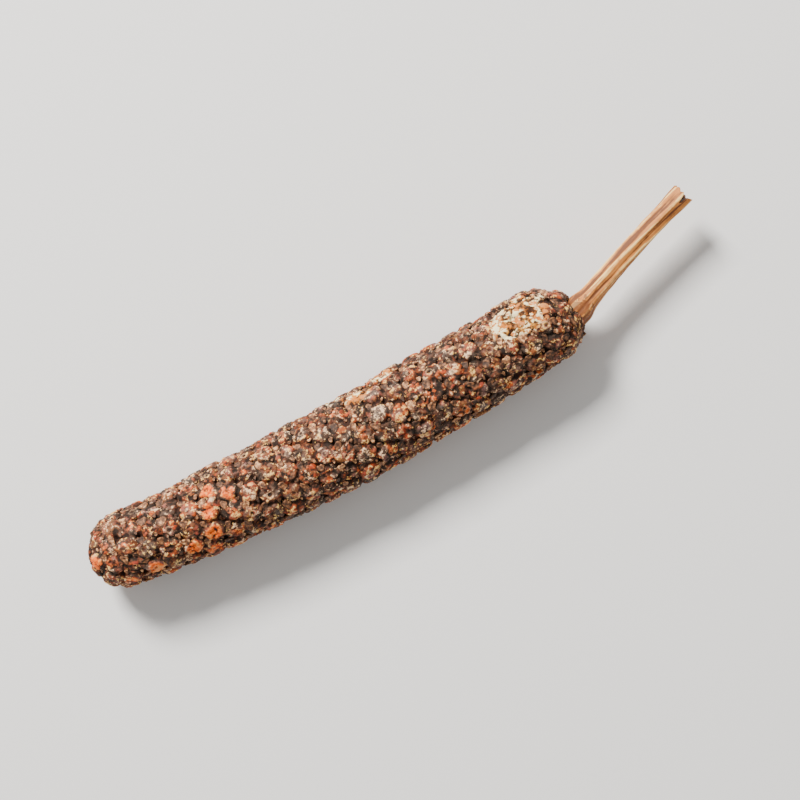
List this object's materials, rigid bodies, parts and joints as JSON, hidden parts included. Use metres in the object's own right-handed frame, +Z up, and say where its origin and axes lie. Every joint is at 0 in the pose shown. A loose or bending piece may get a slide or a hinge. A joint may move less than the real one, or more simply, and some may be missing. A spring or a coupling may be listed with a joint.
{
  "type": "long pepper",
  "caption": "Dried long pepper lying on its side: a slender, slightly bent spike of small berries grown together round one axis, on a short ribbed stalk.",
  "frame": {"origin": "centre of the whole thing's length and width, on the surface that it lies on", "axes": "+X runs along the spike from its tip to its stalk, +Z is up, and the stalk turns towards +Y"},
  "size_m": [0.0624, 0.0104, 0.0079],
  "materials": {
    "dried_berries": "dull reddish brown, dried berries with dark creases between them",
    "dry_stalk": "dull light tan, dry and fibrous with ribs along it"
  },
  "bodies": {
    "root": {"berry_spike": "dried_berries", "stalk": "dry_stalk"}
  },
  "joints": []
}
